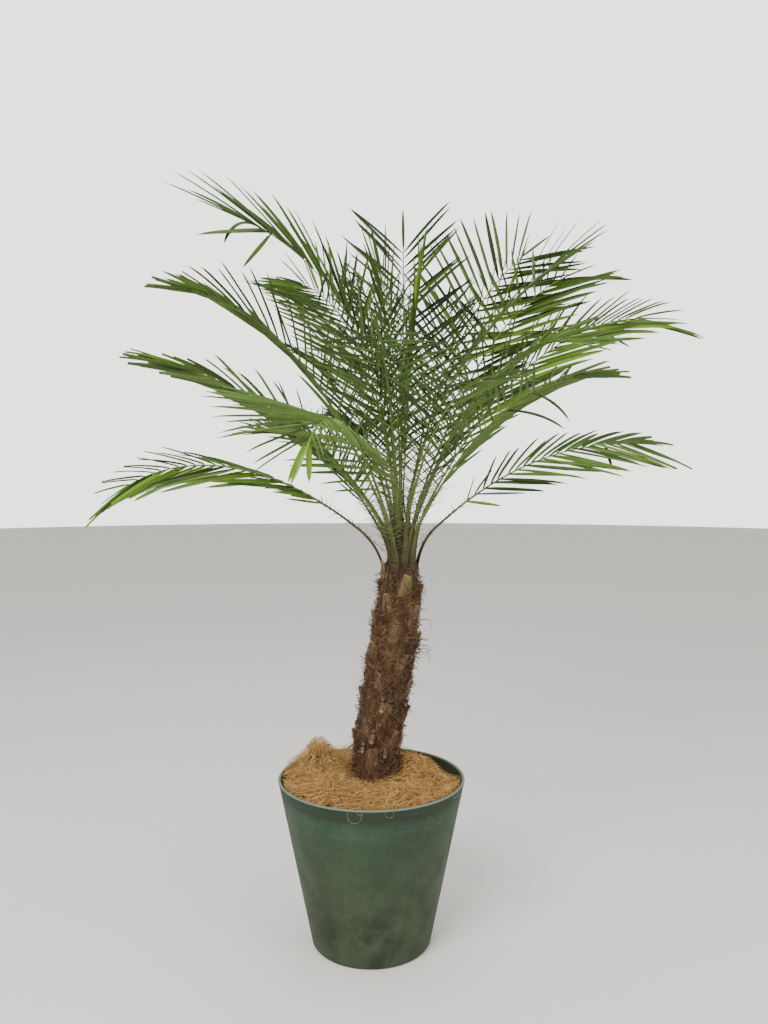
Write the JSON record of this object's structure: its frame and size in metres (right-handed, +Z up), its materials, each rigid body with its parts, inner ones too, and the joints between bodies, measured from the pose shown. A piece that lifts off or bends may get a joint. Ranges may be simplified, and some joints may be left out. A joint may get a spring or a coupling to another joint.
{
  "type": "potted pygmy date palm",
  "caption": "Leaning feather-leaved palm with a stubbly stem and an arching crown, standing in a tapered round planter topped with coconut fibre.",
  "frame": {"origin": "centre of the planter's flat underside, on the floor", "axes": "+Z up through the planter, +X the way the stem leans, -Y towards the viewer of the front"},
  "size_m": [1.3431, 1.2976, 1.5376],
  "materials": {
    "planter": "matt stone-look, mottled blue-green with darker smudges near the foot",
    "potting_soil": "dark moist potting mix",
    "coir": "loose golden-tan coconut fibre",
    "stem": "brown fibrous bark with paler frond stubs",
    "frond": "satin green leaflets on paler green ribs"
  },
  "bodies": {
    "root": {"planter": "planter", "potting_soil": "potting_soil", "coir_mulch": "coir", "stem": "stem", "frond_low_left": "frond", "frond_low_right": "frond", "frond_left_middle": "frond", "frond_left_high": "frond", "frond_left_tall": "frond", "frond_left_inner": "frond", "frond_front_left": "frond", "frond_front_high": "frond", "frond_front_right": "frond", "frond_right_front": "frond", "frond_right_low": "frond", "frond_right_inner": "frond", "frond_right_wide": "frond", "frond_right_middle": "frond", "frond_right_high": "frond", "frond_back_right_low": "frond", "frond_back_right_high": "frond", "frond_back_upright": "frond", "frond_back_tall": "frond", "frond_back_low": "frond", "frond_back_middle": "frond", "frond_back_left_low": "frond", "frond_back_left_high": "frond", "frond_back_left_wide": "frond", "frond_young_right": "frond", "frond_young_left": "frond"}
  },
  "joints": []
}
